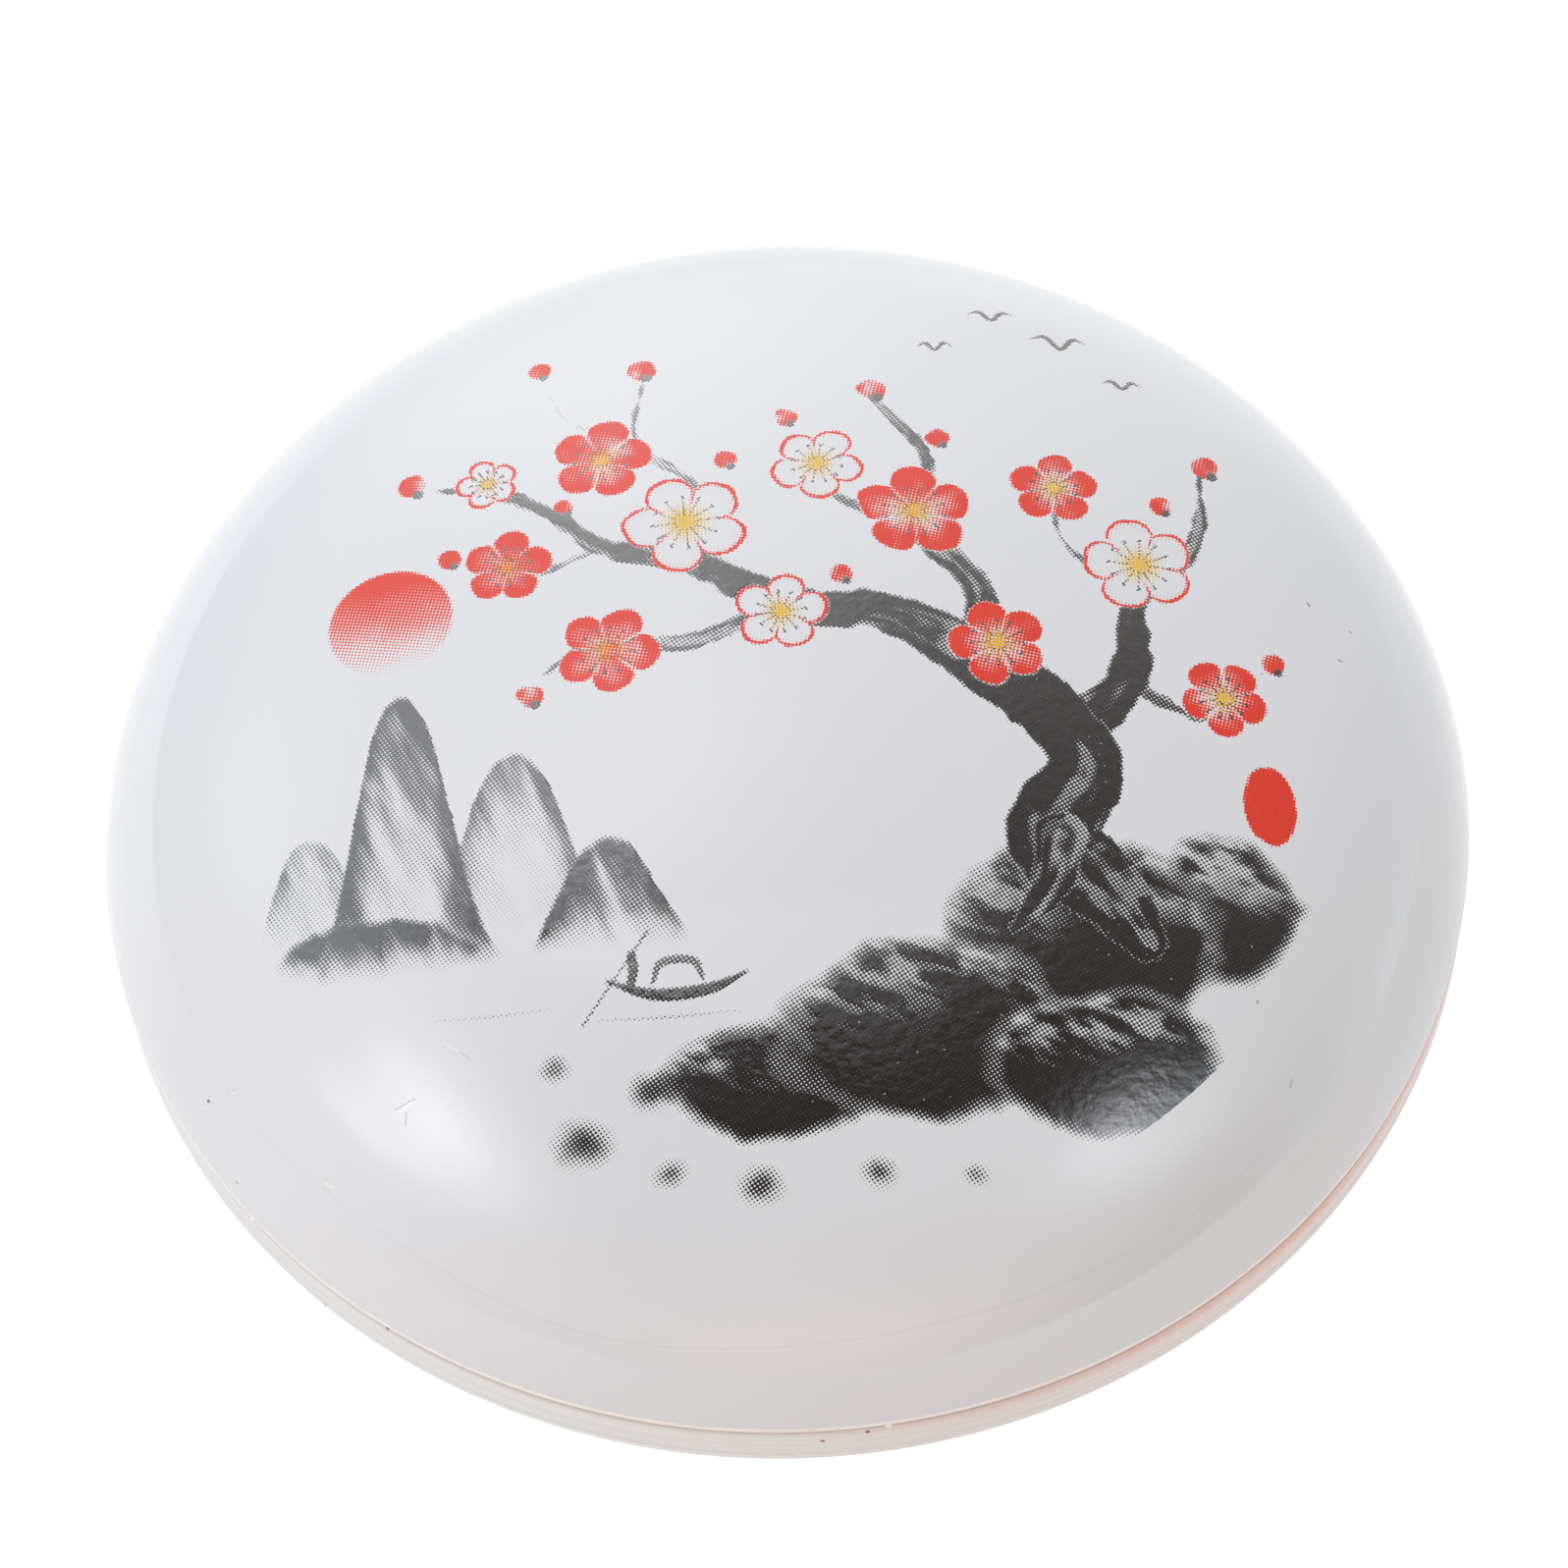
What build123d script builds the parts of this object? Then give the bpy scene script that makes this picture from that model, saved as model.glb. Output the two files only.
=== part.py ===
from build123d import *
import math
import os

# Round porcelain box for seal paste: a bowl on a foot ring, a crowned lid that drops over the bowl's
# lip, and the pat of paste inside. Millimetres, +Z up, origin at the middle of the foot ring's face.

# Whole box
outer_radius = 46.0

# Lid, outside: a shallow crown, a tight rounded shoulder and a short upright edge
lid_rise = 15.7
lid_crown_share = 0.52
lid_edge_height = 0.6
lid_edge_lean = 13.6
lid_edge_round = 0.35
lid_wall = 2.8

# Joint: the lid's rim on the base's ledge, and the base's lip inside the lid's recess
rim_width = 2.6
recess_round = 0.3
lip_thickness = 1.8
lip_height = 2.4
lip_side_gap = 0.35
lip_top_gap = 0.4
lip_round = 0.5
ledge_round = 0.45

# Base, outside: a foot ring, a sloping underside, a rounded belly that leans in under the band at a
# faint corner, and an upright band
foot_radius = 29.0
foot_height = 2.2
foot_width = 3.2
foot_recess = 1.5
foot_round = 0.7
foot_fillet = 1.0
underside_rise = 2.6
belly_round = 17.0
belly_lean = 22.0
band_height = 3.75
band_round = 0.8

# Bowl, inside: a flat floor, a dish that rises round it, a round corner and an upright wall
floor_thickness = 3.4
floor_setback = 1.5
bowl_dish = 2.6
bowl_round = 10.0

# Paste: a domed pat that spreads past the bowl's floor by a share of the way to the wall
paste_spread_share = 0.4
paste_gap = 0.3
paste_side_height = 2.2
paste_crown_rise = 3.0
paste_round = 1.5

# Places that follow from the sizes above
upright = math.pi / 2
belly_tilt = math.radians(belly_lean)
belly_height = foot_height + underside_rise + belly_round
belly_centre = (outer_radius - belly_round * math.cos(belly_tilt), belly_height)
band_bottom = belly_height - belly_round * math.sin(belly_tilt)
joint_height = band_bottom + band_height
recess_radius = outer_radius - rim_width
recess_height = lip_height + lip_top_gap
lip_outer_radius = recess_radius - lip_side_gap
lip_inner_radius = lip_outer_radius - lip_thickness
lip_top = joint_height + lip_height
floor_height = foot_recess + floor_thickness
floor_radius = foot_radius - floor_setback


def circle_point(centre, radius, angle):
    """The point of a circle at an angle in radians, counted up from the horizontal."""
    return (centre[0] + radius * math.cos(angle), centre[1] + radius * math.sin(angle))


def corner_rounded(face, corner, radius):
    """The half section with the corner nearest to a place rounded off."""
    nearest = face.vertices().sort_by_distance((corner[0], corner[1], 0))[0]
    return fillet(nearest, radius)


def turned(face):
    """The solid that a half section sweeps in one full turn about the box's axis."""
    return revolve(Plane.XZ * face, axis=Axis.Z)


def lid_arcs():
    """Centres and radii of the lid's crown and shoulder.

    The crown's centre lies on the axis. The shoulder's circle touches the crown's from inside and
    passes through the top of the upright edge, where its normal leans up by the edge's lean."""
    crown_drop = lid_rise * lid_crown_share
    crown_radius = (outer_radius ** 2 + crown_drop ** 2) / (crown_drop + crown_drop)
    crown_z = lid_rise - crown_radius
    lean = math.radians(lid_edge_lean)
    edge_above = lid_edge_height - crown_z
    slack = crown_radius ** 2 - outer_radius ** 2 - edge_above ** 2
    spread = crown_radius - outer_radius * math.cos(lean) - edge_above * math.sin(lean)
    shoulder_radius = slack / (spread + spread)
    shoulder_centre = (
        outer_radius - shoulder_radius * math.cos(lean),
        joint_height + lid_edge_height - shoulder_radius * math.sin(lean),
    )
    return (0, joint_height + crown_z), crown_radius, shoulder_centre, shoulder_radius


def dome_section(inset):
    """Half section under the lid's dome, drawn in by an inset, down to the joint plane."""
    crown_centre, crown_radius, shoulder_centre, shoulder_radius = lid_arcs()
    crown = crown_radius - inset
    shoulder = shoulder_radius - inset
    join = math.atan2(shoulder_centre[1] - crown_centre[1], shoulder_centre[0])
    if inset > 0:
        edge = math.asin((joint_height - shoulder_centre[1]) / shoulder)
    else:
        edge = math.radians(lid_edge_lean)
    apex = circle_point(crown_centre, crown, upright)
    join_point = circle_point(crown_centre, crown, join)
    edge_point = circle_point(shoulder_centre, shoulder, edge)
    foot_point = (edge_point[0], joint_height)
    outline = ThreePointArc(apex, circle_point(crown_centre, crown, (upright + join) / 2), join_point)
    outline += ThreePointArc(
        join_point, circle_point(shoulder_centre, shoulder, (join + edge) / 2), edge_point
    )
    if inset == 0:
        outline += Line(edge_point, foot_point)
    outline += Polyline(foot_point, (0, joint_height), apex)
    return make_face(outline)


def lid():
    """Porcelain shell with a flat rim and a shallow recess inside the rim."""
    recess = Pos(recess_radius / 2, joint_height + recess_height / 2) * Rectangle(
        recess_radius, recess_height
    )
    section = dome_section(0) - dome_section(lid_wall) - recess
    section = corner_rounded(section, (outer_radius, joint_height), lid_edge_round)
    section = corner_rounded(section, (recess_radius, joint_height), recess_round)
    return turned(section)


def slope_to_circle(start, centre, radius):
    """Slope in radians of the line from a point that runs under a circle and touches it."""
    across = centre[0] - start[0]
    above = centre[1] - start[1]
    return math.atan2(above, across) - math.asin(radius / math.hypot(across, above))


def bowl_outside():
    """Half section of the base filled in: foot ring, underside, belly, band and lip."""
    underside_start = (foot_radius, foot_height)
    slope = slope_to_circle(underside_start, belly_centre, belly_round)
    touch = circle_point(belly_centre, belly_round, slope - upright)
    belly_middle = circle_point(belly_centre, belly_round, (slope - upright - belly_tilt) / 2)
    band_foot = (outer_radius, band_bottom)
    outline = Polyline(
        (0, foot_recess),
        (foot_radius - foot_width, foot_recess),
        (foot_radius - foot_width, 0),
        (foot_radius, 0),
        underside_start,
        touch,
    )
    outline += ThreePointArc(touch, belly_middle, band_foot)
    outline += Polyline(
        band_foot,
        (outer_radius, joint_height),
        (lip_outer_radius, joint_height),
        (lip_outer_radius, lip_top),
        (0, lip_top),
        (0, foot_recess),
    )
    return make_face(outline)


def bowl_corner():
    """Centre of the bowl's round corner, and the slope in radians of the dish that runs into it."""
    centre = (lip_inner_radius - bowl_round, floor_height + bowl_dish + bowl_round)
    return centre, slope_to_circle((floor_radius, floor_height), centre, bowl_round)


def bowl_inside():
    """Half section of the bowl's hollow, up to the top of the lip."""
    centre, slope = bowl_corner()
    touch = circle_point(centre, bowl_round, slope - upright)
    corner_middle = circle_point(centre, bowl_round, (slope - upright) / 2)
    wall_foot = (lip_inner_radius, centre[1])
    outline = Polyline((0, floor_height), (floor_radius, floor_height), touch)
    outline += ThreePointArc(touch, corner_middle, wall_foot)
    outline += Polyline(wall_foot, (lip_inner_radius, lip_top), (0, lip_top), (0, floor_height))
    return make_face(outline)


def bowl_height(radius):
    """Height of the bowl's inner face at a radius inside its upright wall."""
    centre, slope = bowl_corner()
    touch_radius = centre[0] + bowl_round * math.sin(slope)
    if radius < floor_radius:
        height = floor_height
    elif radius < touch_radius:
        height = floor_height + (radius - floor_radius) * math.tan(slope)
    else:
        height = centre[1] - math.sqrt(bowl_round ** 2 - (radius - centre[0]) ** 2)
    return height


def base():
    """Porcelain bowl with its foot ring, ledge and raised lip."""
    section = bowl_outside() - bowl_inside()
    section = corner_rounded(section, (outer_radius, joint_height), ledge_round)
    section = corner_rounded(section, (lip_outer_radius, lip_top), lip_round)
    section = corner_rounded(section, (lip_inner_radius, lip_top), lip_round)
    section = corner_rounded(section, (outer_radius, band_bottom), band_round)
    section = corner_rounded(section, (foot_radius, foot_height), foot_fillet)
    section = corner_rounded(section, (foot_radius, 0), foot_round)
    section = corner_rounded(section, (foot_radius - foot_width, 0), foot_round)
    return turned(section)


def seal_paste():
    """Domed pat, flat on the bowl's floor and a little clear of the dish round it."""
    side_radius = floor_radius + (lip_inner_radius - floor_radius) * paste_spread_share
    flat_radius = floor_radius - paste_gap
    side_foot = (side_radius, bowl_height(side_radius) + paste_gap)
    side_top = (side_radius, side_foot[1] + paste_side_height)
    apex = (0, side_top[1] + paste_crown_rise)
    crown_radius = (side_radius ** 2 + paste_crown_rise ** 2) / (paste_crown_rise + paste_crown_rise)
    crown_middle = circle_point(
        (0, apex[1] - crown_radius), crown_radius, upright - math.asin(side_radius / crown_radius) / 2
    )
    outline = Polyline(apex, (0, floor_height), (flat_radius, floor_height), side_foot, side_top)
    outline += ThreePointArc(side_top, crown_middle, apex)
    section = corner_rounded(make_face(outline), side_top, paste_round)
    return turned(section)


parts = {"base": base(), "lid": lid(), "seal_paste": seal_paste()}

os.makedirs("parts", exist_ok=True)
for name, shape in parts.items():
    export_step(shape, "parts/" + name + ".step")
    box = shape.bounding_box()
    print(name, round(shape.volume), "mm3", "z", round(box.min.Z, 2), "to", round(box.max.Z, 2))
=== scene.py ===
import math

import bpy
import numpy as np
from mathutils import Matrix, Vector


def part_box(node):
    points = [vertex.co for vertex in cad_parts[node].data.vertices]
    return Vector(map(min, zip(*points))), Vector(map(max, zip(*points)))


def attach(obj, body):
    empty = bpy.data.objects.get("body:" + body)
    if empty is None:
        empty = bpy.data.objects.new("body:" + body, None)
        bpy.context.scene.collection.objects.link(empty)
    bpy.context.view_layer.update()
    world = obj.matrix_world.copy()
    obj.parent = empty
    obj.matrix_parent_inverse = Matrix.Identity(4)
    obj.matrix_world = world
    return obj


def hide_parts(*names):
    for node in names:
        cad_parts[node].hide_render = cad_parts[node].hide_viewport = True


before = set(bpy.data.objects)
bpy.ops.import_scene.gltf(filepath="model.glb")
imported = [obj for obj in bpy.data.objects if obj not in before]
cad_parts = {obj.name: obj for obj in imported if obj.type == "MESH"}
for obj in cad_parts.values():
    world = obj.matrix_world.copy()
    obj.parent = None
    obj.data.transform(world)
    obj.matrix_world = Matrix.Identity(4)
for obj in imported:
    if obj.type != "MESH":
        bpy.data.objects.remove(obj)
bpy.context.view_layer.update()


# The lid: a thin porcelain shell, thrown and turned, glazed all over but for its rim and the recess
# inside it, which are left bare so that it doesn't fuse to the base in the kiln. It is fired in one
# piece, with nothing fixed to it, and drops over the lip of the base.

mm = 0.001
lid_low, lid_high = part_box("lid")
lid_radius = lid_high[0]
joint_height = lid_low[2]
print_lift = 0.02 * mm
lid_rise = lid_high[2] - joint_height - print_lift
lid_edge_height = 0.6 * mm
lid_edge_lean = math.radians(13.6)
lid_edge_round = 0.35 * mm
lid_wall = 2.8 * mm
crown_radius = 145.9 * mm
shoulder_radius = 13.86 * mm
ease_start = 28.47 * mm
ease_length = 16.0 * mm
rim_width = 2.6 * mm
recess_height = 2.8 * mm
recess_round = 0.3 * mm
lid_glaze_wander = 0.15 * mm
rim_bare_rise = 0.16 * mm
recess_bare_rise = 0.3 * mm
film_walk = 45 * mm
upright = math.pi / 2


def arc_points(centre, radius, start, end, count):
    """Points at even steps of angle along a circle, as rows of radius from the axis and height."""
    angle = np.linspace(start, end, count)
    return np.stack([centre[0] + radius * np.cos(angle), centre[1] + radius * np.sin(angle)], 1)


def line_points(start, end, count):
    """Points at even steps along a straight line, without its first point."""
    share = np.linspace(0, 1, count + 1)[1:, None]
    return np.asarray(start) + share * (np.asarray(end) - np.asarray(start))


def ease(share):
    """Nothing up to 0, all from 1 on, and eased between."""
    share = np.clip(share, 0, 1)
    return share * share * (3 - 2 * share)


def lid_curve():
    """The lid's outside from the pole to the top of its upright edge, as distance walked, radius,
    height and slope. The slope grows by the crown's curvature, then by the shoulder's, which takes
    over gradually. The curve is stretched a hair to meet the lid's radius and rise."""
    step = 0.01 * mm
    walk = np.arange(0, 1.5 * lid_radius, step)
    share = ease((walk - ease_start) / ease_length)
    slope = np.cumsum((1 - share) / crown_radius + share / shoulder_radius) * step
    keep = slope < upright - lid_edge_lean
    walk, slope = walk[keep], slope[keep]
    radius = np.cumsum(np.cos(slope)) * step
    fall = np.cumsum(np.sin(slope)) * step
    radius *= lid_radius / radius[-1]
    fall *= (lid_rise - lid_edge_height) / fall[-1]
    radius[0] = 0.0
    return walk, radius, joint_height + lid_rise - fall, slope


def on_curve(walked, lift):
    """Radius and height of places on the lid's outside, moved off it by a lift."""
    walk, radius, height, slope = lid_curve()
    lean = np.interp(walked, walk, slope)
    return (
        np.interp(walked, walk, radius) + lift * np.sin(lean),
        np.interp(walked, walk, height) + lift * np.cos(lean),
    )


def on_dome(u, v, lift):
    """Places on the lid for flat coordinates in millimetres, which are distances walked from its top
    along its curve, and a height in metres that they stand off the lid."""
    radius, height = on_curve(np.hypot(u, v) * mm, lift)
    turn = np.arctan2(v, u)
    return np.stack([radius * np.cos(turn), radius * np.sin(turn), height], 1)


def lid_profile():
    """From the outer pole over crown, shoulder and edge, under the rim, up the recess and back
    along the inner dome to the inner pole."""
    last = lid_curve()[0][-1]
    crowding = 1.6
    recess_radius = lid_radius - rim_width
    step_height = joint_height + recess_height
    edge_centre = (lid_radius - lid_edge_round, joint_height + lid_edge_round)
    rim_centre = (recess_radius + recess_round, joint_height + recess_round)
    outer = np.stack(on_curve(last * (1 - np.linspace(1, 0, 110) ** crowding), 0.0), 1)
    inner = np.stack(on_curve(last * (1 - np.linspace(0, 1, 90) ** crowding), -lid_wall), 1)
    inner = inner[inner[:, 1] > step_height]
    inner[-1, 0] = 0.0
    return np.concatenate(
        [
            outer,
            arc_points(edge_centre, lid_edge_round, 0, -upright, 9),
            line_points((edge_centre[0], joint_height), (rim_centre[0], joint_height), 5),
            arc_points(rim_centre, recess_round, -upright, -math.pi, 7)[1:],
            line_points((recess_radius, rim_centre[1]), (recess_radius, step_height), 6),
            line_points((recess_radius, step_height), (inner[0, 0], step_height), 4),
            inner,
        ]
    )


def placed(name, data):
    """An object in the scene that holds a mesh or a camera."""
    thing = bpy.data.objects.new(name, data)
    bpy.context.scene.collection.objects.link(thing)
    return thing


def turned_mesh(name, profile, steps, material, warp=None):
    """Surface of revolution: each profile point, a radius and a height, goes round the axis at even
    angles. The two ends lie on the axis and become one vertex each. A warp moves the points."""
    first = np.arange(steps)
    angle = first * 2 * math.pi / steps
    rings = profile[1:-1]
    radius, height = (column[:, None] * np.ones(steps) for column in rings.T)
    points = np.stack([radius * np.cos(angle), radius * np.sin(angle), height], 2)
    poles = np.array([[0, 0, profile[0, 1]], [0, 0, profile[-1, 1]]])
    vertices = np.concatenate([points.reshape(-1, 3), poles])
    if warp is not None:
        vertices = warp(vertices)
    turn = (first + 1) % steps
    ring = np.arange(len(rings) - 1)[:, None] * steps
    quads = np.stack([ring + first, ring + first + steps, ring + turn + steps, ring + turn], 2)
    last = (len(rings) - 1) * steps
    top = np.stack([np.full(steps, len(vertices) - 2), first, turn], 1)
    bottom = np.stack([last + first, np.full(steps, len(vertices) - 1), last + turn], 1)
    faces = quads.reshape(-1, 4).tolist() + top.tolist() + bottom.tolist()
    mesh = bpy.data.meshes.new(name)
    mesh.from_pydata(vertices.tolist(), [], faces)
    mesh.shade_smooth()
    mesh.materials.append(material)
    return placed(name, mesh)


def node_adder(tree):
    """Empties a node tree, and gives a function that adds a node to it with its settings and links."""
    tree.nodes.clear()

    def add(kind, links=(), **settings):
        node = tree.nodes.new("ShaderNode" + kind)
        for key, value in settings.items():
            if key in node.bl_rna.properties:
                setattr(node, key, value)
            else:
                node.inputs[key.replace("_", " ")].default_value = value
        for socket, source in dict(links).items():
            if isinstance(source, bpy.types.NodeSocket):
                tree.links.new(source, node.inputs[socket])
            else:
                node.inputs[socket].default_value = source
        return node

    return add


def new_material(name):
    """An empty node material, the function that adds its nodes, and the place that they look at."""
    material = bpy.data.materials.new(name)
    material.use_nodes = True
    add = node_adder(material.node_tree)
    return material, add, add("TexCoord").outputs["Object"]


def result(add, operation, first, second=0.0, third=0.0, clamp=False):
    """The output of one math node."""
    node = add("Math", {0: first, 1: second, 2: third}, operation=operation, use_clamp=clamp)
    return node.outputs[0]


def times(add, *values):
    """All the values multiplied together."""
    total = values[0]
    for value in values[1:]:
        total = result(add, "MULTIPLY", total, value)
    return total


def scaled(add, value, factor, start, clamp=False):
    """A value times a factor, added to a start, and kept between 0 and 1 where that is asked for."""
    return result(add, "MULTIPLY_ADD", value, factor, start, clamp)


def vector_result(add, operation, first, second):
    """The output of one vector math node, which is a number for a product or a distance."""
    node = add("VectorMath", {0: first, 3 if operation == "SCALE" else 1: second}, operation=operation)
    return node.outputs["Value" if operation in ("DOT_PRODUCT", "DISTANCE") else "Vector"]


def blend(add, share, low, high):
    """The output of a colour mix between two colours."""
    return add("Mix", {0: share, 6: low, 7: high}, data_type="RGBA").outputs[2]


def noise(add, place, scale, detail, **settings):
    """A noise from 0 to 1, whose lumps are about as large as one over its scale, in metres."""
    return add("TexNoise", {"Vector": place}, Scale=scale, Detail=detail, **settings).outputs["Fac"]


def dotted(add, place, scale):
    """Dots spread at random through space: a random number for each, and the distance from its
    middle as a share of the usual distance between two."""
    dots = add("TexVoronoi", {"Vector": place}, Scale=scale)
    return add("SeparateColor", {"Color": dots.outputs["Color"]}).outputs[0], dots.outputs["Distance"]


def off_axis(add, place):
    """The three coordinates of a place, and the square of its distance from the box's axis."""
    x, y, z = add("SeparateXYZ", {"Vector": place}).outputs
    return x, y, z, result(add, "ADD", times(add, x, x), times(add, y, y))


def surface(add, colour, roughness, normal, index=1.5):
    """Gives the material its surface, with the refractive index of glaze unless told otherwise."""
    looks = {"Base Color": colour, "Roughness": roughness, "Normal": normal, "IOR": index}
    add("OutputMaterial", {"Surface": add("BsdfPrincipled", looks).outputs[0]})


def glaze_bump(add, place):
    """The skin of a fired glaze: a slow waviness and a faint orange peel, as a bump's output."""
    height = scaled(add, noise(add, place, 900.0, 2.0), 0.035, noise(add, place, 70.0, 1.0))
    return add("Bump", {"Height": height}, Strength=1.0, Distance=0.07 * mm).outputs[0]


def porcelain_white(add, place):
    """Cool white clay seen through the glaze, with slow shifts of tone, and sparse dark pinholes and
    iron specks."""
    cloud = noise(add, place, 35.0, 3.0)
    white = blend(add, cloud, (0.750, 0.758, 0.776, 1), (0.785, 0.790, 0.802, 1))
    chance, apart = dotted(add, place, 115.0)
    rare = result(add, "GREATER_THAN", chance, 0.93)
    near = result(add, "LESS_THAN", apart, scaled(add, chance, 0.5, -0.43))
    return blend(add, times(add, rare, near), white, (0.20, 0.16, 0.13, 1))


def worn_white(add, place):
    """The glaze with its scratches, chips and stuck dust. Each mark is a short line between two places
    counted in millimetres along the lid from its top, with a half width and a tone."""
    colour = porcelain_white(add, place)
    for tone, half_width, *ends in (
        (0.20, 0.13, (-40.6, -23.8), (-40.5, -23.8)),
        (0.95, 0.07, (-38.0, -23.8), (-37.9, -23.9)),
        (0.95, 0.07, (-41.0, -24.1), (-40.9, -24.2)),
        (0.95, 0.06, (-31.7, -31.0), (-31.1, -31.5)),
        (0.50, 0.12, (-40.2, -29.6), (-40.1, -29.7)),
        (0.50, 0.05, (-25.9, -27.3), (-24.6, -26.8)),
        (0.92, 0.045, (-25.6, -27.45), (-24.8, -27.05)),
        (0.50, 0.05, (-25.2, -27.6), (-25.3, -28.4)),
        (0.95, 0.04, (-22.6, -23.3), (-21.6, -24.1)),
        (0.60, 0.04, (-21.5, -24.1), (-20.8, -24.8)),
        (0.35, 0.09, (26.5, -17.4), (26.6, -17.4)),
        (0.40, 0.10, (29.5, -23.2), (29.5, -23.3)),
        (0.45, 0.05, (31.9, -28.1), (31.75, -28.6)),
        (0.40, 0.09, (37.6, 2.4), (37.8, 2.3)),
        (0.35, 0.10, (35.9, 6.8), (36.0, 6.6)),
        (0.45, 0.08, (38.8, 5.1), (38.9, 5.0)),
    ):
        start, end = on_dome(*np.array(ends).T, 0.0)
        span = end - start
        offset = vector_result(add, "SUBTRACT", place, start)
        reach = vector_result(add, "DOT_PRODUCT", offset, span / (span @ span))
        nearest = vector_result(add, "SCALE", span, scaled(add, reach, 1.0, 0.0, True))
        apart = vector_result(add, "DISTANCE", offset, nearest)
        cover = scaled(add, apart, -4.0 / (half_width * mm), 4.0, True)
        colour = blend(add, cover, colour, (tone, 0.97 * tone, 0.94 * tone, 1))
    return colour


def lid_material():
    """Glazed, but for the rim and the recess, which are bare: creamy, dry and a little rubbed, and
    their clay is painted up to full white as a painted highlight where the floor lights the lid's
    edge. The edge of the transfer's film has left a faint line in the glaze at the front."""
    material, add, place = new_material("lid_glaze")
    _, y, z, across = off_axis(add, place)
    level = scaled(add, noise(add, place, 600.0, 2.0), lid_glaze_wander, z)
    rim = result(add, "LESS_THAN", level, joint_height + lid_edge_height + rim_bare_rise)
    inside = result(add, "LESS_THAN", across, (lid_radius - 0.8 * rim_width) ** 2)
    recess = result(add, "LESS_THAN", level, joint_height + recess_height + recess_bare_rise)
    bare = result(add, "MAXIMUM", rim, times(add, inside, recess))

    # the film's line compares squares of radii, so its wander and its width are squares too
    film_radius = float(on_curve(film_walk, 0.0)[0])
    film_wander = 260 * mm**2
    film_width = 8.333 * mm**2
    film = scaled(add, noise(add, place, 24.0, 1.0), film_wander, across)
    film = result(add, "SUBTRACT", film, film_radius**2 + film_wander / 2)
    film = scaled(add, result(add, "ABSOLUTE", film), -1 / film_width, 1.0, True)
    in_front = scaled(add, y, -8.0, -0.08, True)
    glazed = blend(add, times(add, film, in_front), worn_white(add, place), (0.62, 0.63, 0.64, 1))

    # bare clay partly its own cream and partly a painted highlight: the lighter end reaches full white
    # to stand for the floor's light on the edge
    clay = blend(add, noise(add, place, 1600.0, 3.0), (0.90, 0.86, 0.80, 1), (1.0, 0.97, 0.92, 1))
    roughness = scaled(add, bare, 0.25, 0.07)
    surface(add, blend(add, bare, glazed, clay), roughness, glaze_bump(add, place))
    return material


lid = turned_mesh("lid_porcelain", lid_profile(), 256, lid_material())
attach(lid, "lid")
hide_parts("lid")


# The picture on the lid: a transfer printed with dot screens and fired into the glaze, as a skin a
# few hundredths of a millimetre thick. It is one round sheet, made as four quarters that meet edge
# to edge, so that each keeps its fine dots when it is baked.

# what is measured on the flat transfer counts in millimetres
print_radius = 39.5
print_taper = 2.0
screen_pitch = 0.24
print_steps = 240
print_back_steps = 12
fine_row = print_steps + 1
coarse_row = print_back_steps + 1
print_under = 0.03 * mm
print_back_depth = 0.3 * mm
print_pimples = 0.03 * mm


def rough(x, y, size, seed, octaves=3):
    """Smooth noise from -1 to 1: random values on a square lattice, eased between, with each finer
    octave at half the size and half the strength."""
    total = np.zeros_like(x)
    weight = 1.0
    whole = 0.0
    for octave in range(octaves):
        u = x / size * 2**octave + seed * 17.3
        v = y / size * 2**octave - seed * 9.1
        left, low = np.floor(u), np.floor(v)
        across, along = u - left, v - low
        across = across * across * (3 - 2 * across)
        along = along * along * (3 - 2 * along)

        def corner(i, j):
            wave = np.sin((left + i) * 127.1 + (low + j) * 311.7 + seed * 74.7) * 43758.5453
            return wave - np.floor(wave)

        near = corner(0, 0) * (1 - across) + corner(1, 0) * across
        far = corner(0, 1) * (1 - across) + corner(1, 1) * across
        total = total + weight * (2 * (near * (1 - along) + far * along) - 1)
        whole += weight
        weight *= 0.5
    return total / whole


def curve_through(points, steps=8):
    """Catmull-Rom curve through rows of x, y and half width, with a few steps between each two."""
    points = np.asarray(points, float)
    ends = np.concatenate([2 * points[:1] - points[1:2], points, 2 * points[-1:] - points[-2:-1]])
    before, start, end, after = ends[:-3], ends[1:-2], ends[2:-1], ends[3:]
    t = (np.arange(steps) / steps)[:, None, None]
    rows = 0.5 * (
        2 * start
        + (end - before) * t
        + (2 * before - 5 * start + 4 * end - after) * t**2
        + (3 * start - before - 3 * end + after) * t**3
    )
    return np.concatenate([rows.transpose(1, 0, 2).reshape(-1, 3), points[-1:]])


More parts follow.
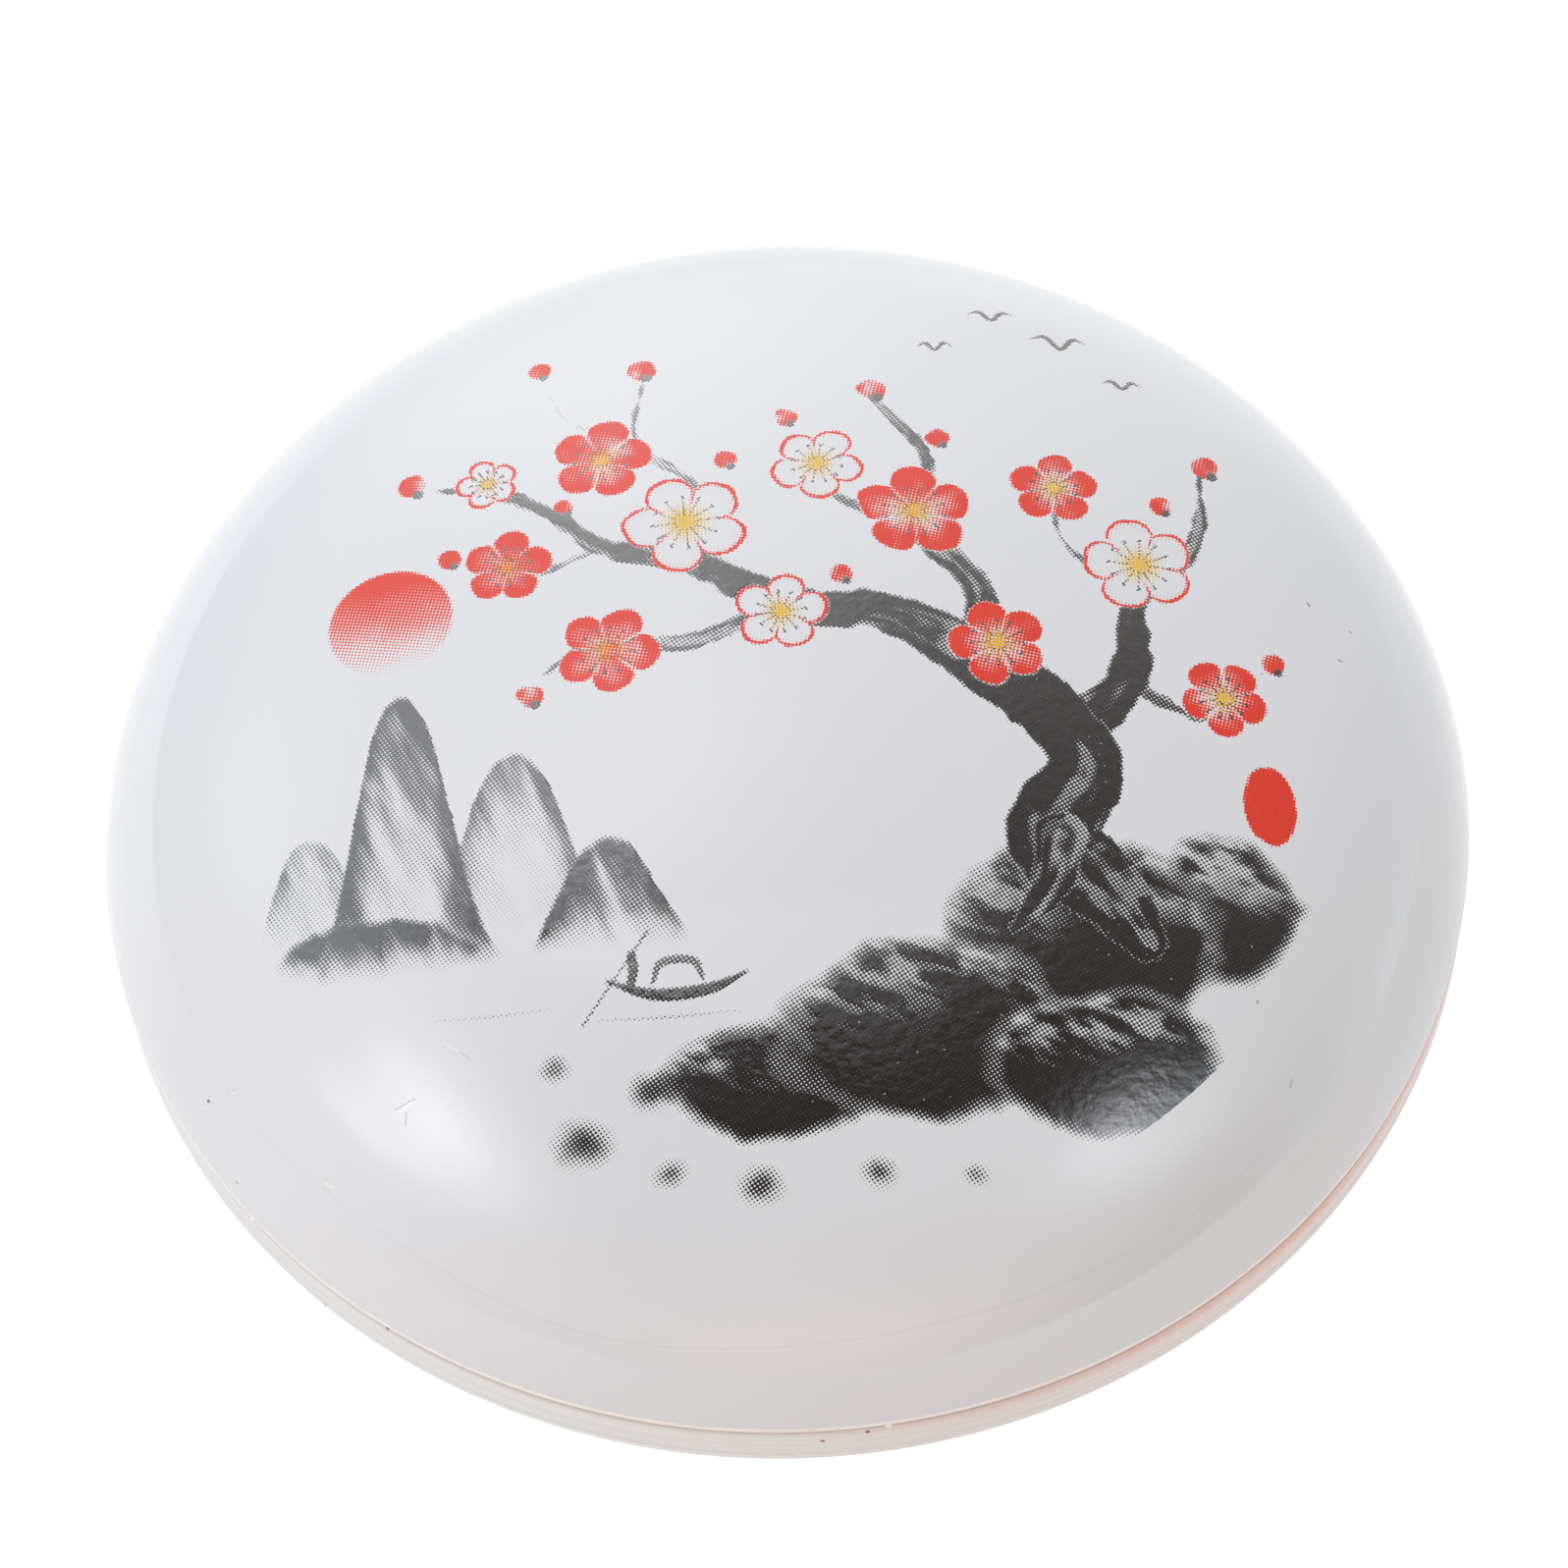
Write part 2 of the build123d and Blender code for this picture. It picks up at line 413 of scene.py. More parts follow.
def brush(x, y, points, steps=8):
    """Along a curved stroke: how far inside its edge each place lies, how far along it is, and how
    far across it is, from -1 at one edge to 1 at the other."""
    path = curve_through(points, steps)
    inside = np.full(x.shape, -50.0)
    along = np.zeros_like(x)
    across = np.zeros_like(x)
    gone = 0.0
    for (ax, ay, aw), (bx, by, bw) in zip(path[:-1], path[1:]):
        dx, dy = bx - ax, by - ay
        length = math.hypot(dx, dy)
        reach = max(aw, bw) + 3
        near = np.flatnonzero(
            (x > min(ax, bx) - reach) & (x < max(ax, bx) + reach)
            & (y > min(ay, by) - reach) & (y < max(ay, by) + reach)
        )
        if near.size:
            px, py = x[near] - ax, y[near] - ay
            t = np.clip((px * dx + py * dy) / length**2, 0, 1)
            gap = np.hypot(px - t * dx, py - t * dy)
            half = np.maximum(aw + (bw - aw) * t, 0.02)
            value = half - gap
            side = np.sign(px * dy - py * dx) * gap / half
            better = value > inside[near]
            where = near[better]
            inside[where] = value[better]
            along[where] = gone + t[better] * length
            across[where] = side[better]
        gone += length
    return inside, along, across


def lay(layer, amount):
    """Adds ink to a layer as one more wash, so that it never passes solid."""
    return layer + np.clip(amount, 0, 1) * (1 - layer)


def edge(inside, soft):
    """Share of cover from how far inside a shape's edge a place lies."""
    return np.clip(0.5 + inside / soft, 0, 1)


def around(x, y, place, reach):
    """Numbers of the places that lie no further than a reach from one place each way, and how far
    they lie from it along x and along y."""
    near = np.flatnonzero((np.abs(x - place[0]) < reach) & (np.abs(y - place[1]) < reach))
    return near, x[near] - place[0], y[near] - place[1]


def wash_hills(black, x, y):
    """Rounded peaks, dark along the ridge and fading down into the mist over the water."""
    water = -19.0
    for centre, top, spread, tone, fade, seed in (
        (-17.5, 15.5, 4.6, 0.55, 8.5, 3),
        (-31.0, 11.0, 3.8, 0.50, 6.5, 5),
        (-24.8, 21.0, 4.0, 0.88, 10.0, 8),
        (-11.5, 8.0, 4.0, 0.95, 5.5, 11),
        (-27.0, 4.6, 7.4, 1.05, 4.0, 14),
    ):
        near = around(x, y, (centre, water + 10), 17)[0]
        u, v = x[near], y[near]
        height = top * np.exp(-np.abs((u - centre) / spread) ** 2.6)
        height += 0.9 * rough(u, np.full_like(u, seed), 5.0, seed)
        inside = height - (v - water)
        body = edge(inside + 0.35 * rough(u, v, 1.1, seed + 1), 0.7)
        streak = rough(u * 1.6 + v * 0.5, v * 0.35, 1.6, seed + 2)
        shade = np.exp(-np.clip(inside, 0, None) / fade) * (1 + 0.7 * streak)
        rise = np.clip((v - water + 0.6 * rough(u, v, 4.0, seed + 4)) / 3.5, 0, 1)
        body = body * rise * np.clip(height / 1.6 - 0.4, 0, 1)
        black[near] = lay(black[near] * (1 - 0.6 * body), 1.3 * tone * body * shade)


def rock(black, x, y, place, wide, tall, tone, seed):
    """One boulder: dark and wet below, with a dry light top, in front of what was there before."""
    near, u, v = around(x, y, place, wide * 1.5)
    far = np.hypot(u / wide, v / tall)
    inside = 1.0 + 0.17 * rough(u, v, 4.0, seed, 4) - far
    body = np.clip(inside / 0.16, 0, 1)
    soft = np.clip(inside / 0.24, 0, 1) ** 0.7
    light = np.clip(v / tall * 1.3 + 0.35 + 0.5 * rough(u, v, 3.0, seed + 30), 0, 1)
    dry = np.clip(0.45 + 1.9 * rough(u * 0.9 - v * 0.5, (u * 0.5 + v) * 2.4, 2.0, seed + 60), 0, 1)
    shade = 1 - light * (0.10 + 0.42 * dry) * np.clip(inside * 7, 0.25, 1)
    black[near] = lay(black[near] * (1 - body), tone * soft * shade)


def bough(black, x, y, points, tone, seed):
    """A branch drawn in one go: dark edges, streaks along the wood where the brush ran dry."""
    inside, along, across = brush(x, y, points)
    near = np.flatnonzero(inside > -2)
    u, v = x[near], y[near]
    ragged = inside[near] + 0.3 * rough(u, v, 1.2, seed) - 0.15
    dry = rough(along[near] * 0.2 + seed, across[near] * 2.4, 1.0, seed + 10)
    knots = rough(along[near] * 0.8 + seed, across[near] * 1.2, 1.6, seed + 20, 2)
    shade = np.clip(0.98 + 1.1 * dry + 0.6 * knots + 0.45 * np.abs(across[near]) ** 2, 0.6, 1)
    cover = edge(ragged, 0.3)
    black[near] = lay(black[near] * (1 - cover), tone * cover * shade)


def blossom(layers, x, y, place, size, turn, solid, seed):
    """Five round petals about a centre, brushed solid or outlined, with stamens and an eye."""
    black, red, yellow = layers
    near, dx, dy = around(x, y, place, size * 1.5)
    far = np.hypot(dx, dy)
    angle = np.arctan2(dy, dx) - turn
    petal = np.abs(np.cos(2.5 * angle))
    reach = size * (0.60 + 0.40 * petal**0.5) * (1 + 0.07 * rough(dx, dy, 1.6, seed, 2))
    inside = reach - far
    cover = edge(inside, 0.25)
    share = far / reach
    if solid:
        seam = np.clip(1 - petal * 3.2, 0, 1) * np.clip(share * 1.8 - 0.35, 0, 1)
        wash = 0.42 + 0.75 * share**1.4 + 0.3 * rough(dx, dy, 1.3, seed + 3, 2) - 0.6 * seam
        tint = cover * np.clip(wash, 0, 1)
    else:
        line = edge(0.15 - np.abs(inside - 0.12), 0.14)
        seam = edge(0.10 - far * petal / 2.5, 0.14) * np.clip(share * 3 - 1.2, 0, 1) * cover
        tint = np.maximum(np.maximum(line, seam * 0.9), cover * 0.38 * share**3)
    red[near] = lay(red[near] * (1 - cover), tint)
    yellow[near] = lay(yellow[near] * (1 - cover), edge(size * 0.34 - far, size * 0.55) * 0.85)
    beside = far * np.abs(np.sin(6 * angle + turn)) / 6
    thread = edge(0.06 - beside, 0.12) * edge(size * 0.5 - far, 0.1) * (far > size * 0.14)
    tip = edge(0.15 - np.hypot(far - size * 0.53, beside), 0.12)
    black[near] = lay(black[near] * (1 - cover), np.maximum(thread, tip) * 0.85)


def bud(layers, x, y, place, size, seed):
    """A round bud in red with a dark cup under it."""
    black, red, _ = layers
    near, dx, dy = around(x, y, place, size * 2)
    inside = size * (1 + 0.12 * rough(dx, dy, 0.9, seed, 1)) - np.hypot(dx, dy)
    red[near] = lay(red[near], edge(inside, 0.22) * (0.8 + 0.4 * rough(dx, dy, 0.8, seed, 1)))
    cup = size * 0.42 - np.hypot(dx - size * 0.35, dy + size * 0.8)
    black[near] = lay(black[near], edge(cup, 0.2) * 0.9)


def picture(x, y):
    """Cover of the black, red and yellow inks at places on the lid, in millimetres from its middle:
    a plum branch in flower over a rock, hills on the water, the sun, a boat and some birds."""
    black, red, _ = layers = np.zeros((3, len(x)))

    # the sun, part hidden in haze
    far = np.hypot(x + 25.5, y - 8.0)
    haze = np.clip(0.62 + (y - 8.0) / 9.0 + 0.12 * rough(x, y, 2.5, 111, 2), 0, 1)
    red[:] = lay(red, edge(4.3 - far, 0.3) * haze)

    wash_hills(black, x, y)
    black *= np.clip((38.5 - np.hypot(x, y)) / 3, 0, 1)

    for place, wide, tall, tone, seed in (
        ((28.0, -17.0), 4.8, 5.4, 1.05, 23),
        ((-1.5, -28.0), 7.4, 4.4, 1.05, 24),
        ((19.0, -19.5), 9.2, 7.4, 1.2, 21),
        ((8.0, -25.0), 9.6, 6.8, 1.2, 22),
        ((19.5, -27.6), 8.2, 5.2, 1.2, 25),
    ):
        rock(black, x, y, place, wide, tall, tone, seed)

    for number, (tone, points) in enumerate((
        (0.8, ((23.5, -1, 0.7), (28, -3, 0.45), (32, 0.5, 0.2))),
        (0.8, ((10, 12, 0.5), (4, 15.5, 0.35), (1.5, 20.5, 0.18))),
        (0.8, ((-11, 12, 0.5), (-17, 10.0, 0.35), (-20.5, 12.0, 0.18))),
        (0.8, ((24, 6, 0.5), (19.5, 11, 0.35), (19.5, 16.5, 0.18))),
        (0.75, ((-8.5, 21, 0.3), (-13, 23.5, 0.22), (-15, 28, 0.15))),
        (0.85, ((-5, 10, 0.7), (-4.5, 16, 0.5), (-8.5, 21, 0.4), (-8, 27, 0.2))),
        (0.9, ((1, 6, 0.9), (-6, 3.5, 0.7), (-11.5, 4.5, 0.5), (-16, 1.5, 0.2))),
        (1.0, ((13, 0, 1.5), (13.5, 7, 1.15), (10, 12, 0.9), (11, 18, 0.65), (7.5, 24, 0.28))),
        (1.0, ((18.5, -5, 1.9), (23, 0, 1.5), (24, 6, 1.1), (28.5, 11, 0.75), (29.5, 17, 0.28))),
        (1.1, ((22.5, -19.5, 1.4), (20, -15.5, 2.8), (17.0, -12, 3.2), (19.5, -6, 2.5), (14, 0.5, 2.4),
               (7.5, 5, 1.7), (1, 6, 1.55), (-5, 10, 1.15), (-11, 12, 0.9), (-16.5, 17, 0.6),
               (-22.5, 19, 0.28))),
        (1.0, ((14.0, -18.5, 0.5), (16.5, -15.5, 1.4), (17.5, -12, 1.9))),
    )):
        bough(black, x, y, points, tone, 41 + number)

    for number, (place, size, turn, solid) in enumerate((
        ((9.8, 13.5), 3.9, 0.3, True),
        ((3.5, 18.0), 3.2, 1.0, False),
        ((-5.5, 13.5), 4.2, 0.7, False),
        ((-11.0, 19.8), 3.5, 0.1, True),
        ((24.5, 9.0), 3.9, 0.5, False),
        ((29.2, -1.5), 3.0, 0.9, True),
        ((-17.5, 11.3), 3.0, 1.4, True),
        ((19.3, 15.5), 3.0, 0.2, True),
        ((-11.0, 3.5), 3.4, 1.1, True),
        ((14.5, 2.5), 3.3, 0.6, True),
        ((0.5, 5.5), 3.1, 0.1, False),
        ((-18.8, 18.8), 2.2, 0.6, False),
    )):
        blossom(layers, x, y, place, size, turn, solid, 71 + number)
    for number, (px, py, size) in enumerate((
        (7.6, 24.8, 1.0), (30.0, 18.0, 1.0), (-16.2, 0.6, 0.9), (-24.0, 19.6, 1.0), (-8.1, 28.0, 1.0),
        (-21.4, 12.6, 0.8), (32.8, 1.4, 0.8), (-15.2, 29.0, 0.8), (1.6, 22.4, 0.8), (11.8, 20.0, 0.8),
        (26.5, 14.2, 0.8), (-2.6, 18.8, 0.8), (4.6, 8.4, 0.8), (-13.6, 15.8, 0.7),
    )):
        bud(layers, x, y, (px, py), size, 91 + number)

    for tone, points in (
        (0.9, ((22.9, 29.8, 0.04), (22.0, 30.2, 0.22), (21, 29, 0.2),
               (20.0, 30.3, 0.22), (18.9, 29.9, 0.04))),
        (0.9, ((17.9, 32.6, 0.04), (17.2, 32.8, 0.2), (16.4, 31.9, 0.18),
               (15.6, 32.8, 0.2), (14.8, 32.5, 0.04))),
        (0.9, ((26.3, 25.6, 0.04), (25.7, 25.9, 0.18), (25, 25.2, 0.16),
               (24.3, 25.9, 0.18), (23.6, 25.6, 0.04))),
        (0.9, ((13.4, 29.0, 0.04), (12.8, 29.3, 0.16), (12.2, 28.6, 0.14),
               (11.6, 29.3, 0.16), (11, 29.0, 0.04))),
        (0.9, ((-3.0, -20.6, 0.1), (-5.5, -21.6, 0.42), (-9.0, -21.7, 0.42), (-12.0, -20.5, 0.1))),
        (0.75, ((-5.8, -20.9, 0.15), (-6.4, -19.6, 0.3), (-8.4, -19.6, 0.3), (-9.0, -20.9, 0.15))),
        (0.85, ((-10.4, -20.9, 0.3), (-10.2, -19.9, 0.36), (-10.3, -18.9, 0.3))),
        (0.7, ((-13.6, -23.4, 0.1), (-9.2, -17.4, 0.1))),
        (0.4, ((-3.5, -23.2, 0.08), (-8.0, -23.3, 0.16), (-12.8, -23.1, 0.08))),
        (0.35, ((-15.5, -22.0, 0.08), (-19.0, -22.1, 0.16), (-23.0, -21.9, 0.08))),
    ):
        black[:] = lay(black, tone * edge(brush(x, y, points, 5)[0], 0.2))

    for px, py, size, tone in (
        (-9.5, -28.0, 1.8, 0.8), (-14.0, -31.0, 2.3, 0.85), (-15.5, -26.0, 1.2, 0.6),
        (-8.5, -33.4, 1.4, 0.65), (-3.0, -34.6, 1.8, 0.75), (4.5, -34.2, 1.5, 0.7),
        (10.5, -34.6, 1.1, 0.55), (32.6, -16.8, 1.2, 0.6),
    ):
        near, dx, dy = around(x, y, (px, py), size * 2)
        far = np.hypot(dx / 1.25, dy) + 0.25 * rough(x[near], y[near], 1.2, px, 2)
        black[near] = lay(black[near], tone * np.clip((size - far) / (0.85 * size), 0, 1))

    # a plain red mark
    far = np.hypot((x - 31.5) / 0.62, y + 9.5) + 0.14 * rough(x, y, 0.8, 131, 2)
    red[:] = lay(red, edge(2.9 - far, 0.3))
    return layers


def quarter_grid(steps, turn):
    """Flat coordinates of a square grid spread over a quarter disc with every cell the same area:
    the distance from the middle is the larger of the two shares, and the angle follows the other."""
    share = np.linspace(0, 1, steps + 1)
    a, b = np.meshgrid(share, share, indexing="ij")
    larger = np.maximum(a, b)
    ratio = np.where(a >= b, b, a) / np.maximum(larger, 1e-9)
    angle = np.where(a >= b, ratio, 2 - ratio) * math.pi / 4 + turn
    walk = larger * print_radius
    return (walk * np.cos(angle)).ravel(), (walk * np.sin(angle)).ravel()


def grid_faces(steps):
    """The square faces of a grid that is counted row by row, as rows of four vertex numbers."""
    i, j = np.meshgrid(np.arange(steps), np.arange(steps), indexing="ij")
    corner = (i * (steps + 1) + j).ravel()
    return np.stack([corner, corner + steps + 1, corner + steps + 2, corner + 1], 1)


def print_quarter(name, turn):
    """A closed skin over a quarter of the print: a fine top grid, a coarse grid hidden in the lid,
    and one face from each coarse border edge to the fine vertices over it."""
    each = print_steps // print_back_steps
    u, v = quarter_grid(print_steps, turn)
    rise = ease((print_radius - np.hypot(u, v)) / print_taper)
    top = on_dome(u, v, print_lift * rise - print_under * (1 - rise))
    back = on_dome(*quarter_grid(print_back_steps, turn), -print_back_depth)
    start = fine_row * fine_row
    faces = grid_faces(print_steps).tolist()
    faces += (start + grid_faces(print_back_steps)[:, [0, 3, 2, 1]]).tolist()
    run = np.arange(fine_row)
    under = np.arange(coarse_row)
    for upper, lower in (
        (run * fine_row, start + under * coarse_row),
        (run + print_steps * fine_row, start + under + print_back_steps * coarse_row),
        (run[::-1] * fine_row + print_steps, start + under[::-1] * coarse_row + print_back_steps),
        (run[::-1], start + under[::-1]),
    ):
        for k in range(print_back_steps):
            over = upper[k * each : (k + 1) * each + 1][::-1].tolist()
            faces.append(over + [int(lower[k]), int(lower[k + 1])])
    mesh = bpy.data.meshes.new(name)
    mesh.from_pydata(np.concatenate([top, back]).tolist(), [], faces)
    smooth = np.arange(len(faces)) < print_steps**2
    mesh.polygons.foreach_set("use_smooth", smooth)
    return mesh, u, v


def dome_normals(mesh):
    """The lid's own normals at a quarter's vertices, so that the quarters shade as one with it."""
    place = np.empty(3 * len(mesh.vertices))
    mesh.vertices.foreach_get("co", place)
    x, y, _ = place.reshape(-1, 3).T
    _, radius, _, slope = lid_curve()
    lean = np.interp(np.hypot(x, y), radius, slope)
    turn = np.arctan2(y, x)
    flat = np.sin(lean)
    return np.stack([flat * np.cos(turn), flat * np.sin(turn), np.cos(lean)], 1).tolist()


def print_map(mesh):
    """Texture places for a quarter: its top fills the square but for a strip, its back fills the
    strip, and each border face is folded onto the top's border."""
    strip = 0.04
    loops = np.empty(len(mesh.loops), np.int32)
    mesh.loops.foreach_get("vertex_index", loops)
    front = loops < fine_row * fine_row
    step = np.where(front, loops, loops - fine_row * fine_row)
    wide = np.where(front, fine_row, coarse_row)
    first = step // wide / (wide - 1)
    second = step % wide / (wide - 1)
    walls = np.arange(len(loops)) >= 4 * (print_steps**2 + print_back_steps**2)
    second = np.where(front | walls, strip + (1 - strip) * second, 0.8 * strip * second)
    return np.stack([first, second], 1).astype(np.float32).ravel()


def print_material():
    """The glaze with the three inks over it, each laid as dots by a screen at its own angle. The
    black is thick enough to stand up in pimples, and misses a tiny speck here and there."""
    material, add, place = new_material("fired_print")
    titles = ("flat_place", "inks")
    read = [add("Attribute", attribute_name=title).outputs["Vector"] for title in titles]
    flat, inks = [add("SeparateXYZ", {"Vector": value}).outputs for value in read]
    grain = noise(add, place, 2600.0, 1.0)

    def dots(density, angle):
        """Cover by one ink: the density against two crossed waves across the screen."""
        turn = math.radians(angle)
        waves = []
        for x_share, y_share in ((math.cos(turn), math.sin(turn)), (-math.sin(turn), math.cos(turn))):
            along = times(add, flat["X"], x_share * 2 * math.pi / screen_pitch)
            along = scaled(add, flat["Y"], y_share * 2 * math.pi / screen_pitch, along)
            waves.append(result(add, "COSINE", along))
        screen = scaled(add, result(add, "ADD", *waves), 0.25, 0.5)
        screen = scaled(add, grain, 0.12, screen)
        excess = result(add, "SUBTRACT", scaled(add, density, 1.27, -0.06), screen)
        return scaled(add, excess, 5.0, 0.0, True)

    chance, apart = dotted(add, place, 1300.0)
    tiny = result(add, "LESS_THAN", apart, 0.08)
    missing = times(add, result(add, "GREATER_THAN", chance, 0.5), tiny)
    black_cover = times(add, dots(inks["X"], 30), scaled(add, missing, -0.45, 1.0))
    colour = worn_white(add, place)
    colour = blend(add, dots(inks["Z"], 0), colour, (0.80, 0.50, 0.04, 1))
    colour = blend(add, dots(inks["Y"], 75), colour, (0.78, 0.055, 0.03, 1))
    colour = blend(add, black_cover, colour, (0.0180, 0.0140, 0.0115, 1))
    height = times(add, noise(add, place, 1200.0, 2.0), scaled(add, inks["X"], 3.0, -1.9, True))
    under = glaze_bump(add, place)
    skin = add("Bump", {"Height": height, "Normal": under}, Strength=1.0, Distance=print_pimples)
    surface(add, colour, 0.06, skin.outputs[0], scaled(add, black_cover, 0.7, 1.5))
    return material


fired_print = print_material()
for number, name in enumerate(("back_right", "back_left", "front_left", "front_right")):
    mesh, u, v = print_quarter("print_" + name, number * upright)
    for title, rows in (("flat_place", (u, v, np.zeros_like(u))), ("inks", picture(u, v))):
        values = np.zeros((len(mesh.vertices), 3), np.float32)
        values[: len(u)] = np.transpose(rows)
        mesh.attributes.new(title, "FLOAT_VECTOR", "POINT").data.foreach_set("vector", values.ravel())
    mesh.uv_layers.new(name="OFBake").data.foreach_set("uv", print_map(mesh))
    mesh.normals_split_custom_set_from_vertices(dome_normals(mesh))
    mesh.materials.append(fired_print)
    quarter = placed("print_" + name, mesh)
    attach(quarter, "lid")


# The base: a porcelain bowl thrown and turned with its foot ring, glazed inside and out. Its ledge,
# lip and upright band are left bare, with fine turning marks, and paste oil has stained them pink.
# The foot ring is wiped bare too, so that it doesn't stick to the kiln shelf.

base_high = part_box("base")[1]
foot_radius = 29.0 * mm
foot_height = 2.2 * mm
foot_width = 3.2 * mm
foot_inner_radius = foot_radius - foot_width
foot_recess = 1.5 * mm
foot_round = 0.7 * mm
foot_fillet = 1.0 * mm
underside_rise = 2.6 * mm
belly_round = 17.0 * mm
belly_tilt = math.radians(22.0)
band_round = 0.8 * mm
lip_thickness = 1.8 * mm
lip_side_gap = 0.35 * mm
lip_round = 0.5 * mm
ledge_round = 0.45 * mm
floor_thickness = 3.4 * mm
floor_setback = 1.5 * mm
bowl_dish = 2.6 * mm
bowl_round = 10.0 * mm
base_glaze_wander = 0.2 * mm
foot_bare_height = 1.1 * mm
foot_bare_reach = 0.4 * mm
stain_depth = 1.7 * mm
# how far down, how far in and how softly the painted shade in the joint's groove reaches
painted_shade_depth = 0.13 * mm
painted_shade_reach = 0.8 * mm
painted_shade_fade = 0.5 * mm
furrow_depth = 0.06 * mm
belly_height = foot_height + underside_rise + belly_round
band_bottom = belly_height - belly_round * math.sin(belly_tilt)
lip_outer_radius = lid_radius - rim_width - lip_side_gap
lip_inner_radius = lip_outer_radius - lip_thickness
lip_top = base_high[2]
floor_height = foot_recess + floor_thickness
floor_radius = foot_radius - floor_setback


def round_corner(before, corner, after, radius, count=6):
    """Points of the arc that rounds off a corner between two straight runs."""
    corner = np.asarray(corner, float)
    back = np.asarray(before, float) - corner
    ahead = np.asarray(after, float) - corner
    back /= np.linalg.norm(back)
    ahead /= np.linalg.norm(ahead)
    half = math.acos(float(np.clip(back @ ahead, -1, 1))) / 2
    centre = corner + (back + ahead) / np.linalg.norm(back + ahead) * radius / math.sin(half)
    first = corner + back * radius / math.tan(half) - centre
    last = corner + ahead * radius / math.tan(half) - centre
    share = np.linspace(0, 1, count)[:, None]
    spread = math.pi - 2 * half
    rows = (np.sin((1 - share) * spread) * first + np.sin(share * spread) * last) / math.sin(spread)
    return rows + centre


def slope_to_circle(start, centre, radius):
    """Slope of the line from a point that runs under a circle and touches it."""
    across = centre[0] - start[0]
    above = centre[1] - start[1]
    return math.atan2(above, across) - math.asin(radius / math.hypot(across, above))


def circle_point(centre, radius, angle):
    """The point of a circle at one angle."""
    return arc_points(centre, radius, angle, angle, 1)[0]


def base_profile():
    """From the middle of the bowl's floor over dish, corner, wall, lip, ledge, band, belly and foot
    ring to the middle of the underside."""
    inner = (lip_inner_radius - bowl_round, floor_height + bowl_dish + bowl_round)
    dish = slope_to_circle((floor_radius, floor_height), inner, bowl_round)
    dish_end = circle_point(inner, bowl_round, dish - upright)
    belly = (lid_radius - belly_round * math.cos(belly_tilt), belly_height)
    slope = slope_to_circle((foot_radius, foot_height), belly, belly_round)
    touch = circle_point(belly, belly_round, slope - upright)
    run_out = 1.2 * foot_fillet
    just_below = 0.01
    lip_in = (lip_inner_radius, lip_top)
    lip_out = (lip_outer_radius, lip_top)
    ledge_in = (lip_outer_radius, joint_height)
    ledge_out = (lid_radius, joint_height)
    band_foot = (lid_radius, band_bottom)
    below = circle_point(belly, belly_round, -belly_tilt - just_below)
    band_top = (lid_radius, joint_height - ledge_round)
    wall_foot = (foot_radius, foot_height)
    outer_foot = (foot_radius, 0)
    inner_foot = (foot_inner_radius, 0)
    recess = (foot_inner_radius, foot_recess)
    return np.concatenate(
        [
            [(0, floor_height)],
            line_points((0, floor_height), (floor_radius, floor_height), 26),
            line_points((floor_radius, floor_height), dish_end, 6),
            arc_points(inner, bowl_round, dish - upright, 0, 30)[1:],
            line_points((lip_inner_radius, inner[1]), (lip_inner_radius, lip_top - lip_round), 5)[:-1],
            round_corner((lip_inner_radius, 0), lip_in, lip_out, lip_round),
            round_corner(lip_in, lip_out, ledge_in, lip_round),
            line_points((lip_outer_radius, lip_top - lip_round), ledge_in, 4),
            line_points(ledge_in, (lid_radius - ledge_round, joint_height), 5)[:-1],
            round_corner(ledge_in, ledge_out, band_foot, ledge_round, 7),
            line_points(band_top, (lid_radius, band_bottom + band_round / 2), 8),
            round_corner(ledge_out, band_foot, below, band_round, 7),
            arc_points(belly, belly_round, -belly_tilt - 3 * just_below, slope - upright, 40),
            line_points(touch, (foot_radius + run_out, foot_height + run_out * math.tan(slope)), 8),
            round_corner(touch, wall_foot, outer_foot, foot_fillet, 7),
            round_corner(wall_foot, outer_foot, inner_foot, foot_round, 7),
            round_corner(outer_foot, inner_foot, recess, foot_round, 7),
            line_points((foot_inner_radius, foot_round), recess, 3),
            line_points(recess, (0, foot_recess), 14),
        ]
    )


def stretched(add, place, scale, turn=(0.0, 0.0, 0.0)):
    """A place turned and scaled differently each way, for a pattern that runs along one of them."""
    links = {"Vector": place, "Rotation": turn, "Scale": scale}
    return add("Mapping", links, vector_type="POINT").outputs[0]


